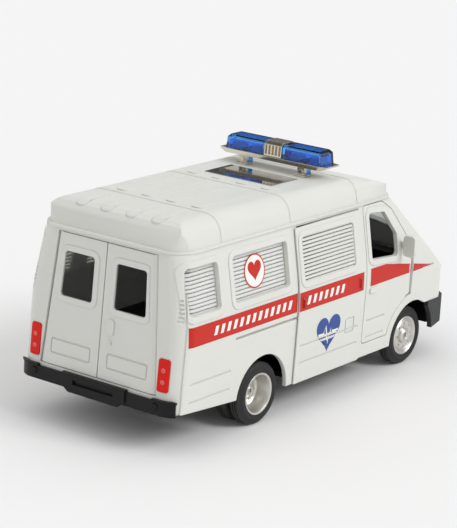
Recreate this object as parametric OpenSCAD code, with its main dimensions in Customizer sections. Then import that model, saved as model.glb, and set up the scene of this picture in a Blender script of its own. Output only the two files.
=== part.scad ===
// Toy ambulance: a high-roof van in moulded plastic on a friction-drive chassis.
// X runs forward, Y to the van's left and Z up, with the ground at Z = 0. Millimetres.

/* [Body] */
// Length over both bumpers
body_len = 178; // [150:1:210]
// Width at the belt line
body_w = 70.6; // [60:0.2:84]
// How far each side leans in up to the roof gutter
gutter_in = 4.1; // [3:0.1:6]
// How far each side leans in down to its foot
sill_in = 1.1; // [0.5:0.1:2]
// Height of the foot of the sides
sill_z = 10.7; // [9:0.1:12]
// Height where the sides begin to lean in
belt_z = 44; // [40:0.5:48]
// Height of the gutter, where the roof cap sits on the body
gutter_z = 68.2; // [66:0.2:74]
// Height of the roof
roof_z = 78; // [76:0.5:86]
// Thickness of the body and roof walls
wall = 1.6; // [1.2:0.1:2.4]
// Forward lean of the rear face, in degrees
rear_lean = 4.3; // [0:0.1:8]
// Radius of the two rear corners
corner_r = 7; // [4:0.5:10]
// Slope of the windscreen from level, in degrees
screen_slope = 40; // [35:0.5:46]
// Radius of the bow of windscreen and bonnet
screen_r = 75; // [60:1:100]
// Overhang from the rear axle to the rear face
rear_overhang = 48.3; // [40:0.1:56]

/* [Running gear] */
// Distance between the axles
wheelbase = 95.8; // [85:0.1:105]
// Tyre diameter
tyre_d = 22.4; // [20:0.1:24]
// Width of a front tyre
front_tyre_w = 6.6; // [5:0.1:8]
// Width of each of the twin rear tyres
rear_tyre_w = 5.6; // [4.5:0.1:6.5]
// Gap between the twin tyres
twin_gap = 0.9; // [0.6:0.1:1.5]
// How far the front tyres stand in from the side
front_tyre_in = 2.8; // [2:0.1:5]
// How far the rear tyres stand in from the side
rear_tyre_in = 1.6; // [1.2:0.1:4]
// Rim diameter at the tyre seat
rim_d = 15.4; // [13:0.1:17]
// Axle diameter
axle_d = 2; // [1.6:0.1:3]
// Radius of the wheel arches
arch_r = 14.6; // [12.5:0.1:16]

/* [Doors and windows] */
// Length of the sliding side door
side_door_l = 40.4; // [36:0.2:44]
// From the rear axle to the rear edge of the side door
side_door_back = 18.2; // [16:0.1:22]
// Travel of the side door along its rail
side_door_travel = 34; // [20:1:38]
// Outward slant of the side door's rail, in degrees
rail_slant = 2; // [1.5:0.1:3]
// Thickness of the side door's skin at its rear edge
side_door_t = 0.5; // [0.4:0.05:1]
// Width of the pillar between side door and front door
pillar_w = 3; // [2:0.1:5]
// Length of a front door
front_door_l = 31.4; // [28:0.2:34]
// Height of the foot of the front doors
front_door_z = 16; // [14:0.2:18]
// Height of the foot of the rear doors
rear_door_z = 20.4; // [19.8:0.1:23]
// Half width of the rear doorway at its foot
rear_door_w = 25.6; // [22:0.1:26]
// Half width of the rear doorway at its top
rear_door_top_w = 21.6; // [19:0.1:23]
// Height of the lower edge of the side windows
win_z = 47.8; // [46:0.1:50]
// Height of a side window
win_h = 16; // [12:0.1:17]
// Radius of the window corners
win_r = 1.6; // [1:0.1:4]
// Width of the raised frame around a window
frame_w = 2.1; // [1:0.1:2.5]
// Height of the raised frames above the body
frame_h = 0.25; // [0.15:0.05:0.3]
// Slats in each louvre blind
slats = 12; // [8:1:14]
// Radius of the rounded hinge edge of a door
knuckle_r = 1.35; // [1.2:0.05:1.5]
// Radius of the hinge pins
pin_r = 0.5; // [0.4:0.05:0.6]

/* [Light bar] */
// Width of the light bar across the roof
bar_w = 48; // [40:0.5:56]
// Depth of the light bar along the roof
bar_d = 10; // [8:0.5:13]
// Height of the tray above the roof
bar_leg_h = 3.4; // [2:0.1:6]
// Thickness of the tray
tray_h = 1.6; // [1:0.1:3]
// Height of the coloured lenses
lens_h = 5.2; // [4:0.1:9]
// From the front axle back to the light bar
bar_back = 44.5; // [40:0.5:50]

/* [Friction drive] */
// Gear module
gear_m = 0.5; // [0.4:0.05:0.6]
// Teeth of the gear on the rear axle
axle_teeth = 20; // [18:1:24]
// Teeth of the small gears
pinion_teeth = 10; // [10:1:12]
// Teeth of the large gear on the idler
idler_teeth = 22; // [18:1:22]
// Flywheel radius
fly_r = 6.4; // [5:0.1:7]

/* [Clearances] */
// Gap around each door
door_gap = 0.3; // [0.25:0.05:0.5]
// Clearance of fixed pieces in their seats
seat_gap = 0.08; // [0.05:0.01:0.2]
// Radial clearance of pins and axles in their bores
run_gap = 0.05; // [0.02:0.01:0.1]
// Depth of shut lines and creases
groove = 0.3; // [0.2:0.05:0.5]

/* [Hidden] */
$fn = 64;

// Lengths along the van are drawn for this body length and stretch with it
drawn_len = 178;
stretch = body_len / drawn_len;

// Sizes of the moulding
bumper_out = 1.7;
tail_z = 15.6;
nose_back = 1.2;
bumper_top = 23.4;
screen_z = 63.5;
flange_h = 0.9;
flange_out = 0.5;
far = 2 * body_len;
eps = 0.01;

// Stations along the van
x_back = -body_len / 2 + bumper_out;
nose_x = body_len / 2 - nose_back;
rear_x = x_back + rear_overhang * stretch;
front_x = rear_x + wheelbase * stretch;
side_x0 = rear_x + side_door_back * stretch;
side_x1 = side_x0 + side_door_l * stretch;
cab_x0 = side_x1 + pillar_w;
cab_x1 = cab_x0 + front_door_l * stretch;
axle_z = tyre_d / 2;
hw = body_w / 2;
gutter_w = body_w - 2 * gutter_in;
sill_w = body_w - 2 * sill_in;
front_track_w = body_w - 2 * front_tyre_in;
rear_track_w = body_w - 2 * rear_tyre_in;
twin_w = 2 * rear_tyre_w + twin_gap;
screw_r = 1;
screw_l = 3.4;
side_tilt = atan(gutter_in / (gutter_z - belt_z));

// Colours
WHITE = [0.92, 0.92, 0.90];
BLACK = [0.10, 0.10, 0.11];
DARK = [0.22, 0.23, 0.24];
SILVER = [0.75, 0.76, 0.78];
CHROME = [0.85, 0.83, 0.80];
RED = [0.80, 0.10, 0.08];
BLUE = [0.08, 0.15, 0.75, 0.8];
CLEAR = [0.80, 0.88, 0.92, 0.4];

// Helpers: outlines are lists of [x, y, corner radius], counter-clockwise
function unit(v) = v / norm(v);
function xy(p) = [p[0], p[1]];
function inward(a, b) = let (u = unit(b - a)) [-u[1], u[0]];
function inset(p, d) = [for (i = [0 : len(p) - 1])
  let (n = len(p), a = xy(p[(i + n - 1) % n]), b = xy(p[i]), c = xy(p[(i + 1) % n]),
    n1 = inward(a, b), n2 = inward(b, c), q = b + (n1 + n2) * d / (1 + n1 * n2))
  [q[0], q[1], p[i][2] > 0 ? max(p[i][2] - d, 0.05) : 0]];
function mirrored(p) = [for (i = [len(p) - 1 : -1 : 0]) [-p[i][0], p[i][1], p[i][2]]];
function other_side(p) = [for (i = [len(p) - 1 : -1 : 0]) [p[i][0], -p[i][1], p[i][2]]];
function box_pts(x0, y0, x1, y1, r) = [[x0, y0, r], [x1, y0, r], [x1, y1, r], [x0, y1, r]];
function arc(c, r, a0, a1, n) = [for (i = [0 : n]) let (a = a0 + (a1 - a0) * i / n)
  [c[0] + r * cos(a), c[1] + r * sin(a), 0]];
function back_x(z) = x_back + (z - tail_z) * tan(rear_lean);
function half_w(z) = hw - max(0, z - belt_z) * tan(side_tilt);

// A corner as [start, end, centre, radius] of its arc
function corner(p, i) = let (n = len(p), b = xy(p[i]), u = unit(xy(p[(i + n - 1) % n]) - b),
    v = unit(xy(p[(i + 1) % n]) - b), half = acos(u * v) / 2, t = p[i][2] / tan(half))
  [b + u * t, b + v * t, b + unit(u + v) * p[i][2] / sin(half), p[i][2]];

module rounded(p) {
  corners = [for (i = [0 : len(p) - 1]) corner(p, i)];
  polygon([for (c = corners) each (c[3] > 0 ? [c[0], c[1]] : [c[0]])]);
  for (c = corners) if (c[3] > 0) intersection() {
    out = unit((c[0] + c[1]) / 2 - c[2]) * c[3];
    translate(c[2]) circle(c[3]);
    polygon([c[0], c[0] + out, c[1] + out, c[1]]);
  }
}

module flat(p) polygon([for (q = p) xy(q)]);
module along_y(y0, y1) translate([0, y1, 0]) rotate([90, 0, 0]) linear_extrude(y1 - y0) children();
module along_x(x0, x1) translate([x0, 0, 0]) rotate([90, 0, 90]) linear_extrude(x1 - x0) children();
module leaning() translate([x_back, 0, tail_z]) rotate([0, rear_lean, 0]) children();
module both() { children(); mirror([0, 1, 0]) children(); }
module both2d() { children(); mirror([1, 0]) children(); }
module wheel_arch(x, r) along_y(-body_w, body_w) translate([x, axle_z]) circle(r);
module block(a, b) translate(a) cube(b - a);

// Outlines of the van
side_pts = [[x_back - corner_r, tail_z, 0], [rear_x - arch_r, tail_z - 3, 0],
  [rear_x + arch_r, sill_z, 0], [front_x, sill_z, 0], [front_x, bumper_top, 0],
  [body_len, bumper_top, 0], [body_len, gutter_z, 0], [x_back - corner_r, gutter_z, 0]];
belt_in = 4 * tan(side_tilt / 3);
right_section = [[-gutter_w / 2, gutter_z, 0], [-hw + 3 * belt_in, belt_z + 5, 0],
  [-hw + belt_in, belt_z + 1, 0], [-hw, belt_z - 3, 0], [-hw, belt_z - 7, 0], [-sill_w / 2, 0, 0]];
section_pts = concat(right_section, mirrored(right_section));
right_nose = [[-body_len, -hw - 1, 0], [nose_x - 19, -hw - 1, 0], [nose_x - 12, -hw + 0.8, 0],
  [nose_x - 7.5, -hw + 3.4, 0], [nose_x - 4.6, -hw + 7, 0], [nose_x - 2.6, -hw + 12, 0],
  [nose_x - 1, -hw / 2 + 3, 0], [nose_x, -4, 0]];
nose_pts = concat(right_nose, other_side(right_nose));
tail_pts = [[0, -hw - 0.1, corner_r], [far, -hw - 0.1, 0], [far, hw + 0.1, 0], [0, hw + 0.1, corner_r]];

// Bow of windscreen and bonnet, as one slanted cylinder
bow_axis = [front_x - screen_r * sin(screen_slope), 0, screen_z - screen_r * cos(screen_slope)];
module screen_bow(d) translate(bow_axis) rotate([0, 90 + screen_slope, 0])
  cylinder(r = screen_r - d, h = 2 * far, center = true);

// Upper rear corner, where the leaning side and rear face meet
module upper_corner(d) {
  r = corner_r - 0.05;
  translate([back_x(belt_z) + r / cos(rear_lean), hw - r / cos(side_tilt), belt_z])
    rotate([atan(tan(side_tilt) * cos(rear_lean)), rear_lean, 0]) difference() {
      translate([-2 * corner_r, 0, 0]) cube([2 * corner_r, 2 * corner_r, gutter_z]);
      translate([0, 0, -1]) cylinder(r = corner_r - d, h = gutter_z + 2);
    }
}

// The solid of the body below the gutter, d inside its surface
module body_solid(d = 0) difference() {
  intersection() {
    along_y(-body_w, body_w) flat(inset(side_pts, d));
    along_x(-body_len, body_len) flat(inset(section_pts, d));
    leaning() translate([0, 0, -far / 4]) linear_extrude(far / 2) rounded(inset(tail_pts, d));
    linear_extrude(body_len) flat(inset(nose_pts, d));
    screen_bow(d);
  }
  both() upper_corner(d);
}

// The hollow inside the body, open below and above
over_gutter = gutter_z + wall + 1;
tall_section = concat([[-gutter_w / 2, over_gutter, 0]], section_pts, [[gutter_w / 2, over_gutter, 0]]);
module body_space() difference() {
  intersection() {
    along_x(-body_len, body_len) flat(inset(tall_section, wall));
    leaning() translate([0, 0, -far / 4]) linear_extrude(far / 2) rounded(inset(tail_pts, wall));
    translate([0, 0, -1]) linear_extrude(body_len) flat(inset(nose_pts, wall));
    screen_bow(wall);
  }
  both() upper_corner(wall);
}

// Side windows as [rear end, length]
win_tail = [x_back + 6.2, 16.2 * stretch];
win_mid = [x_back + 30.4 * stretch, 31.2 * stretch];
win_door = [side_x0 + 3, side_x1 - side_x0 - 8.4];
function window(w, d) = inset(box_pts(w[0], win_z, w[0] + w[1], win_z + win_h, win_r), d);
module frame2d(p, w = frame_w) difference() { rounded(inset(p, -w)); rounded(p); }
module outline2d(p, w) difference() { rounded(p); rounded(inset(p, w)); }
module flat_frame(p) difference() { flat(inset(p, -frame_w)); flat(p); }

// Front door, drawn on the left side as seen along Y
hinge_x = cab_x1 - knuckle_r;
knuckle_in = 0.35;
hinge_y = hw - knuckle_r - knuckle_in;
door_arch_r = arch_r + 3.6;
hinge_z0 = axle_z + door_arch_r + 0.3;
hinge_z1 = belt_z + 0.6;
boss_h = 2.2;
cab_top = gutter_z - 0.5;
function cab_pts(front) = [[cab_x0, front_door_z, 1.5], [front, front_door_z, 0], [front, hinge_z1, 0],
  [hinge_x - 2.1, hinge_z1 + 0.9, 0], [cab_x1 - 4.6, belt_z + 9, 0], [cab_x0 + 18.6, cab_top - 4, 3.6],
  [cab_x0 + 12.6, cab_top, 3.6], [cab_x0, cab_top, 1.5]];
cab_win = [[cab_x0 + 3.2, win_z - 0.2, 1.5], [cab_x0 + 20.6, win_z - 1.6, 1.5],
  [cab_x0 + 20.6, win_z + 6.6, 1.5], [cab_x0 + 13.4, win_z + 16, 1.5], [cab_x0 + 3.2, win_z + 17, 1.5]];
module cab_opening() difference() {
  rounded(inset(cab_pts(cab_x1), -door_gap));
  translate([front_x, axle_z]) circle(door_arch_r - door_gap);
}
module cab_panel() difference() {
  rounded(cab_pts(hinge_x - knuckle_in));
  translate([front_x, axle_z]) circle(door_arch_r);
}

// Rear doors, drawn as seen along X; the hinge runs up the slanted outer edge
rear_top = gutter_z - 1.2;
edge_tilt = atan((rear_door_w - rear_door_top_w) / (rear_top - rear_door_z));
split_gap = 0.4;
rear_pts = [[split_gap / 2, rear_door_z, 0], [rear_door_w, rear_door_z, 0], [rear_door_top_w, rear_top, 0],
  [split_gap / 2, rear_top, 0]];
rear_win = [[4.8, 45.2, 1.2], [18.9, 45.2, 1.2], [17.9, 61, 1.2], [4.8, 61, 1.2]];
module rear_hinge() translate([back_x(rear_door_z) + (knuckle_r + 0.05) / cos(rear_lean),
    rear_door_w - knuckle_r / cos(edge_tilt), rear_door_z])
  rotate([atan(tan(edge_tilt) * cos(rear_lean)), rear_lean, 0]) children();
rear_hinge_l = (rear_top - rear_door_z) / cos(edge_tilt) / cos(rear_lean);

// Lamps and grille
tail_lamp = box_pts(hw - 9.1, 22.2, hw - 4.7, 33.4, 0.8);
lamp_y = hw - 19.1;
head_lamp = [[lamp_y + 0.8, 26.4, 0], [lamp_y + 12.8, 27, 0], [lamp_y + 15.2, 29.4, 0],
  [lamp_y + 15.6, 34.6, 0], [lamp_y + 13.8, 35.4, 0], [lamp_y + 2.2, 32.6, 0], [lamp_y, 30, 0]];
half_grille = [[12.6, 25, 0], [14.2, 26.6, 0], [14.8, 32.6, 0]];
grille_pts = concat(half_grille, mirrored(half_grille));
pocket = 0.9;

// Windscreen, drawn in the slanted frame: x down the slope, y across
screen_hw = hw - 9.8;
half_screen = [[-11.6, -screen_hw + 4, 0], [-9.6, -screen_hw + 1.9, 0], [15, -screen_hw, 0],
  [17, -screen_hw + 2, 0]];
screen_pts = concat(half_screen, other_side(half_screen));
module slanted() translate([front_x, 0, screen_z]) rotate([0, screen_slope, 0]) children();

well_l = arch_r + 0.7;

// Screw posts hang from the walls down to the chassis
chassis_top = 15.4;
chassis_t = 1.8;
post_r = 2.4;
post_h = 4.2;
posts = [[x_back + 15, hw - 6.5], [front_x + well_l + 2.3, hw - 11]];
module post(p) {
  translate([p[0], p[1], chassis_top]) cylinder(r = post_r, h = post_h);
  block([p[0] - 0.8, p[1], chassis_top], [p[0] + 0.8, hw, chassis_top + post_h]);
}

// Hinge bosses kept inside the walls
module bosses() both() {
  for (z = [hinge_z0 - boss_h - door_gap, hinge_z1 + door_gap])
    translate([hinge_x, hinge_y, z]) cylinder(r = knuckle_r, h = boss_h);
  rear_hinge() for (z = [-boss_h - door_gap, rear_hinge_l + door_gap])
    translate([0, 0, z]) cylinder(r = knuckle_r + 0.8, h = boss_h);
  for (p = posts) post(p);
}
module pin_holes() both() {
  translate([hinge_x, hinge_y, hinge_z0 - boss_h])
    cylinder(r = pin_r + run_gap, h = hinge_z1 - hinge_z0 + 2 * boss_h);
  rear_hinge() translate([0, 0, -boss_h]) cylinder(r = pin_r + run_gap, h = rear_hinge_l + 2 * boss_h);
  for (p = posts) translate([p[0], p[1], chassis_top - 1]) cylinder(r = screw_r + 0.02, h = 1 + screw_l);
}

// Rail of the side door in the right flank, whose skin covers the rear edge of the doorway
door_lip = 1.4;
door_head = gutter_z - 1 + door_gap;
rail_z = belt_z - 8.6;
rail_w = 0.9;
rail_depth = 1.2;
module side_rail() block([side_x0 - side_door_travel - 1.5, -hw - 1, rail_z - rail_w / 2],
  [side_x0 + door_lip + 1, -hw + rail_depth, rail_z + rail_w / 2]);

// Creases and shut lines, cut a little into the surface
crease_w = 0.55;
vents = 6;
vent_pitch = 1.4;
module creases() {
  for (z = [17.8, 24.2]) both() {
    block([x_back + 7, hw - 4, z], [rear_x - arch_r - 4.5, hw + 1, z + crease_w]);
    block([side_x0 + 2, hw - 4, z], [side_x1 - 2, hw + 1, z + crease_w]);
  }
  both() {
    leaning() {
      translate([2.6, hw - 4, -1]) cube([crease_w, 5, gutter_z - tail_z]);
      for (i = [0 : vents - 1]) translate([0.7, hw - 4, belt_z - tail_z + 2.4 + i * vent_pitch])
        cube([1.6, 5, vent_pitch / 2]);
    }
    block([cab_x1 + 0.5, hw - 4, belt_z - 6], [front_x + 12, hw + 1, belt_z - 6 + crease_w]);
  }
  slanted() for (y = [-1, 1]) translate([21, y * 24, 0]) cube([26, crease_w, 40], center = false);
  slanted() translate([20.5, -26, -10]) cube([crease_w, 52, 40]);
}

module body_shell() color(WHITE) difference() {
  union() {
    body_solid();
    intersection() {
      body_solid(-frame_h);
      union() {
        along_y(-body_w, body_w) for (w = [win_tail, win_mid, win_door]) frame2d(window(w, 0));
        slanted() translate([0, 0, -12]) linear_extrude(24) flat_frame(screen_pts);
      }
    }
  }
  difference() { body_space(); bosses(); }
  pin_holes();
  along_y(-body_w, body_w) for (w = [win_tail, win_mid]) rounded(window(w, 0));
  along_y(0, body_w) rounded(window(win_door, 0));
  along_y(-body_w, 0) rounded(box_pts(side_x0 + door_lip, sill_z - 3, side_x1 + door_gap, door_head, 0.6));
  both() along_y(hw - 8, body_w) cab_opening();
  along_x(-body_len, x_back + 9) both2d() flat(inset(rear_pts, -door_gap));
  slanted() translate([0, 0, -25]) linear_extrude(60) flat(screen_pts);
  for (x = [rear_x, front_x]) wheel_arch(x, arch_r);
  side_rail();
  difference() {
    union() {
      along_x(-body_len, x_back + 9) both2d() rounded(inset(tail_lamp, -seat_gap));
      along_x(front_x, body_len) {
        both2d() flat(inset(head_lamp, -seat_gap));
        flat(inset(grille_pts, -seat_gap));
      }
    }
    body_solid(pocket);
  }
  difference() { creases(); body_solid(groove); }
}

// Roof cap
roof_x0 = back_x(gutter_z) + 0.3;
roof_foot = gutter_z - 5;
roof_side = [[roof_x0, roof_foot, 0], [front_x - 4.8, roof_foot, 0], [front_x - 4.8, gutter_z, 0],
  [front_x - 12.8, roof_z - 6.1, 0], [front_x - 21.8, roof_z - 3, 0], [front_x - 30.8, roof_z - 1, 0],
  [front_x - 42.8, roof_z, 0], [roof_x0 + 9, roof_z, 0], [roof_x0 + 6.2, roof_z - 0.5, 0],
  [roof_x0 + 4.2, roof_z - 1.4, 0], [roof_x0 + 2.7, roof_z - 2.9, 0], [roof_x0 + 1.7, roof_z - 4.8, 0],
  [roof_x0, gutter_z, 0]];
roof_hw = gutter_w / 2 - 0.6;
half_roof = [[roof_hw, roof_foot, 0], [roof_hw, gutter_z, 0], [roof_hw - 2, roof_z, 7]];
roof_section = concat(half_roof, mirrored(half_roof));
cap_r = 8;
half_plan = concat(arc([roof_x0 + cap_r, -roof_hw + cap_r], cap_r, 180, 270, 4),
  [[front_x - 18, -roof_hw, 0], [front_x - 14.6, -roof_hw + 2.6, 0], [front_x - 8.4, -18, 0],
  [front_x - 5.8, -8, 0]]);
roof_plan = concat(half_plan, other_side(half_plan));
module roof_solid(d) intersection() {
  along_y(-body_w, body_w) flat(inset(roof_side, d));
  along_x(-body_len, body_len) rounded(inset(roof_section, d));
  translate([0, 0, gutter_z / 2]) linear_extrude(body_len) flat(inset(roof_plan, d));
}

bar_x = front_x - bar_back;
plate_x0 = bar_x - 25;
plate_x1 = bar_x - 9;
plate_hw = 15;
plate_t = 0.8;
plate_z = roof_z + 0.2 - plate_t;
band_w = 1.8;
bands = [x_back + 24.8 * stretch, x_back + 64.2 * stretch, bar_x + 6];
rib_h = 0.35;
rib_w = 4.6;
rib_ends = [[x_back + 8, bands[0] - 2.6], [bands[0] + 4.4, bands[1] - 2.6], [bands[1] + 4.4, plate_x0 - 2]];
module rib(x0, x1, y) translate([0, y, roof_z - 0.5]) linear_extrude(rib_h + 0.5)
  rounded(box_pts(x0, -rib_w / 2, x1, rib_w / 2, 1.6));
module roof_cap() color(WHITE) difference() {
  union() {
    roof_solid(0);
    translate([0, 0, gutter_z]) linear_extrude(flange_h) flat(inset(roof_plan, -0.6 - flange_out));
    for (e = rib_ends, y = [-16.5, -5.5, 5.5, 16.5]) rib(e[0], e[1], y);
  }
  roof_solid(wall);
  block([-body_len, -body_w, 0], [body_len, body_w, gutter_z]);
  block([plate_x0 - seat_gap, -plate_hw - seat_gap, plate_z],
    [plate_x1 + seat_gap, plate_hw + seat_gap, roof_z + 2]);
  difference() {
    for (x = bands) block([x, -hw, gutter_z + flange_h], [x + band_w, hw, roof_z + 2]);
    roof_solid(groove / 2);
  }
}
module roof_plate() color(CHROME)
  block([plate_x0, -plate_hw, plate_z], [plate_x1, plate_hw, plate_z + plate_t]);

// Light bar
tray_z = roof_z + bar_leg_h;
lens_z = tray_z + tray_h;
leg_x = bar_x - bar_d / 2 + 1.2;
siren_hw = 3.9;
end_in = 2.6;
lens_l = bar_w / 2 - end_in - siren_hw;
leg_y = siren_hw + lens_l * 0.53;
stem_r = 1.1;
lens_t = 0.8;
slit_pitch = siren_hw / 2.6;
function half_bar(h) = [[bar_d / 2 - 0.8, 0, 0], [bar_d / 2 - 1.1, h - 1, 0], [bar_d / 2 - 2, h, 0]];
module bar_profile(d, h) flat(inset(concat(half_bar(h), mirrored(half_bar(h))), d));
module lens_outline(d) flat(inset([[siren_hw + 0.3, 0, 0], [bar_w / 2 - end_in, 0, 0],
  [bar_w / 2 - end_in - 0.4, lens_h - 1, 0], [bar_w / 2 - end_in - 1.4, lens_h, 0],
  [siren_hw + 0.3, lens_h, 0]], d));
module lens_solid(d) translate([bar_x, 0, lens_z]) intersection() {
  along_y(-bar_w, bar_w) bar_profile(d, lens_h);
  along_x(-bar_d, bar_d) lens_outline(d);
}
module lens() color(BLUE) {
  difference() { lens_solid(0); translate([0, 0, -lens_t - eps]) lens_solid(lens_t); }
  translate([bar_x, leg_y, roof_z + seat_gap]) cylinder(r = stem_r, h = bar_leg_h + tray_h + 0.6);
  translate([bar_x - bar_d / 2 + 1.3, leg_y - 1.2, lens_z]) cube([bar_d - 2.6, 2.4, 0.7]);
}
module bar_lens_left() lens();
module bar_lens_right() mirror([0, 1, 0]) lens();
half_tray = [[bar_w / 2 - 2.4, 0, 0], [bar_w / 2, tray_h * 0.7, 0], [bar_w / 2, tray_h, 0]];
tray_plan = [[-bar_d / 2, -bar_w / 2 + 4, 0], [-bar_d / 2 + 0.9, -bar_w / 2, 0],
  [bar_d / 2 - 0.9, -bar_w / 2, 0], [bar_d / 2, -bar_w / 2 + 4, 0]];
module bar_tray() color(CHROME) difference() {
  union() {
    intersection() {
      translate([bar_x, 0, tray_z]) along_x(-bar_d, bar_d) flat(concat(half_tray, mirrored(half_tray)));
      translate([bar_x, 0, 0]) linear_extrude(body_len) flat(concat(tray_plan, other_side(tray_plan)));
    }
    for (s = [-1, 1]) translate([leg_x, s * leg_y, 0]) {
      block([-0.8, -1.5, roof_z + 0.05], [0.8, 1.5, tray_z + 0.4]);
      block([-1.6, -2.4, roof_z + 0.05], [2.4, 2.4, roof_z + 0.65]);
      translate([-1.3, 0, roof_z + bar_leg_h * 0.55]) rotate([0, 90, 0]) cylinder(r = 0.9, h = 1);
    }
  }
  for (s = [-1, 1]) translate([bar_x, s * leg_y, roof_z - 1]) cylinder(r = stem_r + seat_gap, h = lens_z);
}
module bar_siren() color(CHROME) difference() {
  translate([bar_x, 0, lens_z + 0.02]) intersection() {
    along_y(-siren_hw, siren_hw) bar_profile(-0.2, lens_h);
    block([-bar_d, -siren_hw, 0], [bar_d, siren_hw, lens_h + 2]);
  }
  for (s = [-1, 1], i = [-2 : 2])
    translate([bar_x + s * (bar_d / 2 - 1), i * slit_pitch - 0.45, lens_z + 0.7]) rotate([0, -s * 6, 0])
      translate([-0.9, 0, 0]) cube([1.8, 0.9, lens_h - 1.9]);
}
refl_hw = lens_l / 8;
module bar_reflectors() color(SILVER) for (s = [-1, 1], y = [0.27, 0.78])
  translate([bar_x, s * (siren_hw + lens_l * y), lens_z + 0.02]) intersection() {
    along_y(-refl_hw, refl_hw) flat([[-2.2, 0], [2.2, 0], [2.2, lens_h - 3], [1.2, lens_h - 2],
      [-1.2, lens_h - 2], [-2.2, lens_h - 3]]);
    along_x(-3, 3) flat([[-refl_hw, 0], [refl_hw, 0], [refl_hw - 0.6, lens_h - 2],
      [0.6 - refl_hw, lens_h - 2]]);
  }

// Glass, lamps and grille, each seated in the body
module behind(t, g) difference() { body_solid(wall + g); body_solid(wall + g + t); }
module seated(out, depth) difference() { body_solid(-out); body_solid(depth); }
module windscreen() color(CLEAR) intersection() {
  behind(0.9, seat_gap);
  slanted() translate([0, 0, -25]) linear_extrude(60) flat(inset(screen_pts, -1.4));
}
module grille() color(BLACK) difference() {
  intersection() { seated(0.2, pocket - seat_gap); along_x(front_x, body_len) flat(grille_pts); }
  difference() {
    for (i = [0 : 3]) block([front_x, -12.4, 26.4 + i * 1.6], [body_len, 12.4, 27.2 + i * 1.6]);
    body_solid(pocket - 0.45);
  }
}
module headlamp() color(CLEAR) intersection() {
  seated(0.2, pocket - seat_gap);
  along_x(front_x, body_len) flat(head_lamp);
}
module headlamp_left() headlamp();
module headlamp_right() mirror([0, 1, 0]) headlamp();
module tail_lamp_one() color(RED) intersection() {
  seated(0.4, pocket - seat_gap);
  along_x(-body_len, x_back + 9) rounded(tail_lamp);
}
module tail_lamp_left() tail_lamp_one();
module tail_lamp_right() mirror([0, 1, 0]) tail_lamp_one();

// Louvre blinds behind the fixed side windows
blind_t = 1;
slat_gap = 0.42;
slat_pitch = win_h / slats;
module slots(w) for (i = [0 : slats - 1]) translate([0, 0, win_z + (i + 0.5) * slat_pitch])
  block([w[0] + 0.4, 0, -slat_gap / 2], [w[0] + w[1] - 0.4, body_w, slat_gap / 2]);
module blind(x0, x1, windows) color(WHITE) difference() {
  intersection() {
    behind(blind_t, seat_gap);
    block([x0, gutter_w / 2 - 6, win_z - 1.2], [x1, body_w, win_z + win_h + 1.2]);
  }
  for (w = windows) slots(w);
}
blind_x0 = win_tail[0] - 1;
module louvre_left() blind(blind_x0, win_door[0] + win_door[1] + 1, [win_tail, win_mid, win_door]);
module louvre_right() mirror([0, 1, 0]) blind(blind_x0, win_mid[0] + win_mid[1] + 1, [win_tail, win_mid]);

// Bumpers
bumper_z0 = 11.8;
bumper_x = nose_x + nose_back;
module front_bumper() color(DARK) difference() {
  intersection() {
    translate([0, 0, bumper_z0]) linear_extrude(bumper_top - bumper_z0 - seat_gap)
      flat(inset(nose_pts, -nose_back));
    along_x(front_x + arch_r - 4, body_len) flat(inset(section_pts, -0.3));
    along_y(-body_w, body_w) flat([[front_x, bumper_z0], [front_x + arch_r, bumper_z0],
      [bumper_x, bumper_z0 + 4.4], [bumper_x, bumper_top - 2.5], [bumper_x - 0.8, bumper_top],
      [front_x, bumper_top]]);
  }
  intersection() {
    linear_extrude(body_len) flat(inset(nose_pts, wall));
    along_x(-far, far) flat(inset(tall_section, wall));
  }
  wheel_arch(front_x, arch_r);
  block([nose_x - 9, -16, 18.2], [body_len, 16, 20.4]);
}
rear_bumper_z0 = 14.2;
rear_bumper_top = rear_door_z - 0.7;
strip_out = 1.1;
half_bulge = [[11, rear_bumper_z0 - 1.1, 0], [14, rear_bumper_z0 + 1, 0], [14, rear_bumper_top, 0]];
half_tail = [[x_back, -hw, corner_r], [0, -hw, 0]];
module tail_plan(d) rounded(inset(concat(half_tail, other_side(half_tail)), d));
module rear_bumper() color(BLACK) difference() {
  union() {
    translate([0, 0, rear_bumper_z0]) linear_extrude(rear_bumper_top - rear_bumper_z0)
      tail_plan(-strip_out);
    translate([0, 0, rear_bumper_top - 0.7]) linear_extrude(0.7) tail_plan(-strip_out - 0.35);
    along_x(x_back - bumper_out, x_back) flat(concat(half_bulge, mirrored(half_bulge)));
  }
  translate([0, 0, rear_bumper_z0 - 3]) linear_extrude(12) tail_plan(-seat_gap);
  block([x_back + 1.2, -body_w, 0], [body_len, body_w, body_len]);
  block([x_back - 3, -9, 16.2], [x_back - bumper_out + 0.9, 9, 17.8]);
  both() block([x_back - 5, 14.2, rear_bumper_top - 0.7], [x_back + 4, hw - 10, rear_bumper_top + 1]);
}
module bumper_bolts() color(CHROME) for (s = [-1, 1]) 
  translate([x_back - strip_out - 0.02, s * (hw - 8.5), 17.2])
    rotate([0, -90, 0]) cylinder(r1 = 1.3, r2 = 0.9, h = 0.5);

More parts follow.
